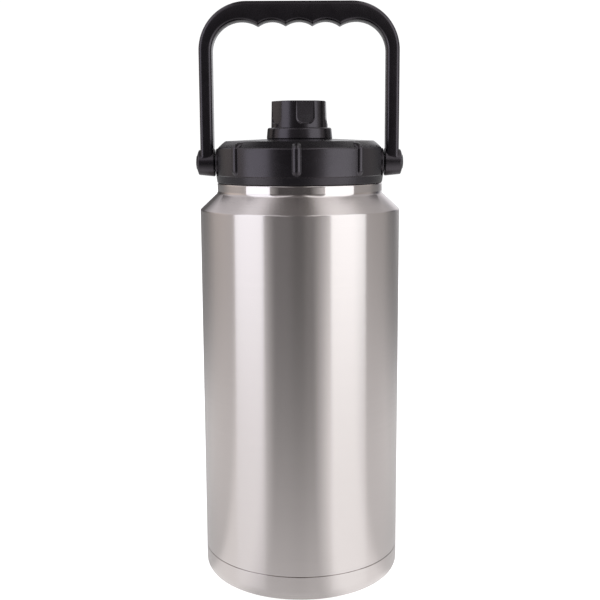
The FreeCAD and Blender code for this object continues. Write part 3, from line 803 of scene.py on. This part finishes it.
CAD_LOOKS = {
    "inner_liner": STEEL_INSIDE, "vacuum_seal": SOLDER, "getter": TABLET, "getter_clip": STEEL_SMALL,
    "lid_plug": BLACK_SMOOTH, "lid_foam": FOAM, "lid_gasket": SILICONE, "spout": BLACK_SMOOTH,
    "spout_ring": SILICONE, "pivot_inserts": BRASS, "pivot_screws": STEEL_SMALL,
    "pivot_washers": BLACK_SMOOTH, "pivot_bushings": WHITE_ACETAL, "cap_liner": BLACK_SMOOTH,
    "cap_seal": SILICONE,
}
for node, material in CAD_LOOKS.items():
    for slot in frame["nodes"][node].material_slots:
        slot.material = material


# ------------------------------------------------------------------- floor, light, camera

def floor():
    """White paper to the camera. Reflections see painted light on the paper instead: a glow that
    changes with direction and distance, brighter towards the two softboxes and darker in front and
    behind.
    """
    g = Graph("floor_paper")
    tone = g.noise(g.position(), 6.0, 3.0)
    g.link(g.blend(tone, (0.86, 0.86, 0.87), (0.90, 0.90, 0.90)), g.shader.inputs["Base Color"])
    g.set(Roughness=0.7, Emission_Color=(1.0, 1.0, 1.0, 1.0), Emission_Strength=0.75)
    away = g.node("ShaderNodeVectorMath", operation="LENGTH")
    g.link(g.position(), away.inputs[0])
    place = g.node("ShaderNodeSeparateXYZ")
    g.link(g.position(), place.inputs[0])
    towards = g.maths("MULTIPLY", place.outputs[1], -1)
    angle = g.maths("DEGREES", g.maths("ARCTAN2", place.outputs[0], towards))
    # painted light and shade on the paper, by direction and by distance from the jug
    near, half_metre, far = [
        g.ramp(angle, -180, 180, [(stop[0], (stop[column],) * 3) for stop in PAINTED_PAPER_LIGHT])
        for column in (1, 2, 3)]
    first = g.maths("MULTIPLY", g.maths("SUBTRACT", half_metre, near),
                    g.spread(away.outputs["Value"], 0, 1, 0.12, 0.5))
    second = g.maths("MULTIPLY", g.maths("SUBTRACT", far, half_metre),
                     g.spread(away.outputs["Value"], 0, 1, 0.5, 1.0))
    glow = g.node("ShaderNodeEmission")
    g.link(g.maths("ADD", near, g.maths("ADD", first, second)), glow.inputs["Strength"])
    surface = g.tree.nodes["Material Output"].inputs["Surface"]
    g.link(g.camera_ray_mix(g.shader.outputs[0], glow.outputs[0]), surface)
    half = 6.0
    square = [(-half, -half, 0), (half, -half, 0), (half, half, 0), (-half, half, 0)]
    mesh = bpy.data.meshes.new("floor")
    mesh.from_pydata(square, [], [(0, 1, 2, 3)])
    mesh.materials.append(g.material)
    sheet = bpy.data.objects.new("floor", mesh)
    bpy.context.scene.collection.objects.link(sheet)


SOFTBOX_DISTANCE = 1.3
SOFTBOX_HEIGHT = 1.6


def softbox(name, azimuth, width, power, colour):
    """Tall area light at an angle round the jug from the front, standing on the floor."""
    light = bpy.data.lights.new(name, "AREA")
    light.shape = "RECTANGLE"
    light.size = width
    light.size_y = SOFTBOX_HEIGHT
    light.energy = power
    light.color = colour
    lamp = bpy.data.objects.new(name, light)
    a = math.radians(azimuth)
    centre_z = SOFTBOX_HEIGHT / 2
    lamp.location = (SOFTBOX_DISTANCE * math.sin(a), -SOFTBOX_DISTANCE * math.cos(a), centre_z)
    aim = Vector((0, 0, centre_z)) - lamp.location
    lamp.rotation_euler = aim.to_track_quat("-Z", "Y").to_euler()
    bpy.context.scene.collection.objects.link(lamp)


# radiance round the horizon, by the angle from the front towards +X: (degrees, colour)
HORIZON = [
    (-180, (0.90, 0.90, 0.92)), (-175, (0.50, 0.50, 0.52)), (-168, (0.14, 0.135, 0.135)),
    (-146, (0.08, 0.077, 0.077)), (-132, (0.24, 0.22, 0.21)), (-113, (0.84, 0.76, 0.70)),
    (-96, (0.90, 0.82, 0.77)), (-82, (0.72, 0.67, 0.65)), (-76, (0.38, 0.37, 0.38)),
    (-46, (0.36, 0.35, 0.36)), (-41, (0.12, 0.108, 0.110)), (0, (0.10, 0.092, 0.094)),
    (10, (0.13, 0.119, 0.117)), (26, (0.16, 0.148, 0.147)), (33, (0.36, 0.34, 0.34)),
    (76, (0.40, 0.38, 0.38)), (90, (0.46, 0.43, 0.41)), (112, (0.55, 0.52, 0.50)),
    (124, (0.22, 0.21, 0.21)), (138, (0.09, 0.09, 0.105)), (148, (0.45, 0.45, 0.48)),
    (158, (0.95, 0.94, 0.97)), (180, (0.90, 0.90, 0.92))]
# radiance overhead, by the slope of the direction to -X or +X: (slope, colour)
OVERHEAD = [
    (-1.0, (0.78, 0.77, 0.80)), (-0.67, (0.76, 0.75, 0.77)), (-0.57, (1.22, 1.21, 1.26)),
    (-0.45, (1.32, 1.31, 1.34)), (-0.37, (0.46, 0.45, 0.45)), (-0.29, (0.22, 0.21, 0.21)),
    (0.0, (0.22, 0.21, 0.21)), (0.15, (0.24, 0.23, 0.22)), (0.26, (1.08, 1.07, 1.07)),
    (0.48, (1.56, 1.55, 1.56)), (0.56, (1.24, 1.22, 1.22)), (0.66, (0.62, 0.61, 0.60)),
    (1.0, (0.62, 0.61, 0.62))]
# painted light on the paper, seen only in reflections: pools of light towards the softboxes and
# painted shade in front and behind, by the angle from the front towards +X: (degrees, near the jug, at
# half a metre, at a metre and beyond)
PAINTED_PAPER_LIGHT = [
    (-180, 0.60, 0.50, 0.30), (-120, 0.68, 1.08, 0.36), (-84, 0.74, 1.0, 0.45),
    (-74, 1.14, 1.08, 1.0), (-45, 1.12, 1.08, 1.0), (-28, 0.76, 0.37, 0.08),
    (14, 0.76, 0.37, 0.08), (30, 1.28, 1.20, 1.10), (62, 1.28, 1.20, 1.10),
    (76, 0.86, 1.0, 0.60), (112, 0.74, 1.15, 0.36), (180, 0.60, 0.50, 0.30)]


def studio():
    """White to the camera. Reflections see grey and dark stretches, which the steel shows as bands."""
    world = bpy.data.worlds.new("studio")
    bpy.context.scene.world = world
    world.use_nodes = True
    world.node_tree.nodes.clear()
    g = Nodes(world.node_tree)
    split = g.node("ShaderNodeSeparateXYZ")
    g.link(g.node("ShaderNodeTexCoord").outputs["Generated"], split.inputs[0])
    x, y, z = split.outputs
    degrees = g.maths("DEGREES", g.maths("ARCTAN2", x, g.maths("MULTIPLY", y, -1.0)))
    slope = g.maths("DIVIDE", x, g.maths("MAXIMUM", z, 0.15))
    sky = g.node("ShaderNodeMix", data_type="RGBA")
    g.link(g.spread(z, 0, 1, 0.22, 0.45), sky.inputs["Factor"])
    g.link(g.ramp(degrees, -180, 180, HORIZON), sky.inputs["A"])
    g.link(g.ramp(slope, -1, 1, OVERHEAD), sky.inputs["B"])
    # the sky is darker in a rounded patch behind the jug, well above the horizon
    behind = g.maths("SUBTRACT", y, g.maths("MULTIPLY", g.maths("MULTIPLY", slope, slope), 1.1))
    shade = g.maths("MULTIPLY", g.spread(behind, 0, 0.65, 0.2, 0.42), g.spread(z, 0, 1, 0.45, 0.65))
    bands = g.node("ShaderNodeBackground")
    g.link(sky.outputs["Result"], bands.inputs["Color"])
    g.link(g.maths("SUBTRACT", 1.0, shade), bands.inputs["Strength"])
    plain = g.node("ShaderNodeBackground")
    plain.inputs["Strength"].default_value = 1.05
    plain.inputs["Color"].default_value = (1, 1, 1, 1)
    out = g.node("ShaderNodeOutputWorld")
    g.link(g.camera_ray_mix(plain.outputs[0], bands.outputs[0]), out.inputs[0])


CAMERA_AT = (-0.00025, -0.7364, 0.32466)
CAMERA_DOWN = math.radians(9.26)
CAMERA_ROLL = math.radians(-0.28)
CAMERA_LENS = 60.54
CAMERA_SENSOR = 36.0


def camera():
    """Level with the lid, looking down a little, square on to the front."""
    data = bpy.data.cameras.new("camera")
    data.sensor_width = CAMERA_SENSOR
    data.lens = CAMERA_LENS
    lens = bpy.data.objects.new("camera", data)
    tilt = Matrix.Rotation(math.pi / 2 - CAMERA_DOWN, 4, "X")
    roll = Matrix.Rotation(CAMERA_ROLL, 4, "Z")
    lens.matrix_world = Matrix.Translation(CAMERA_AT) @ tilt @ roll
    bpy.context.scene.collection.objects.link(lens)
    bpy.context.scene.camera = lens


floor()
studio()
softbox("light_left", -59, 0.87, 5.3, (0.95, 0.99, 1.09))
softbox("light_right", 56, 1.05, 7.4, (0.955, 1.005, 1.03))
camera()
bpy.context.scene.view_settings.view_transform = "Standard"
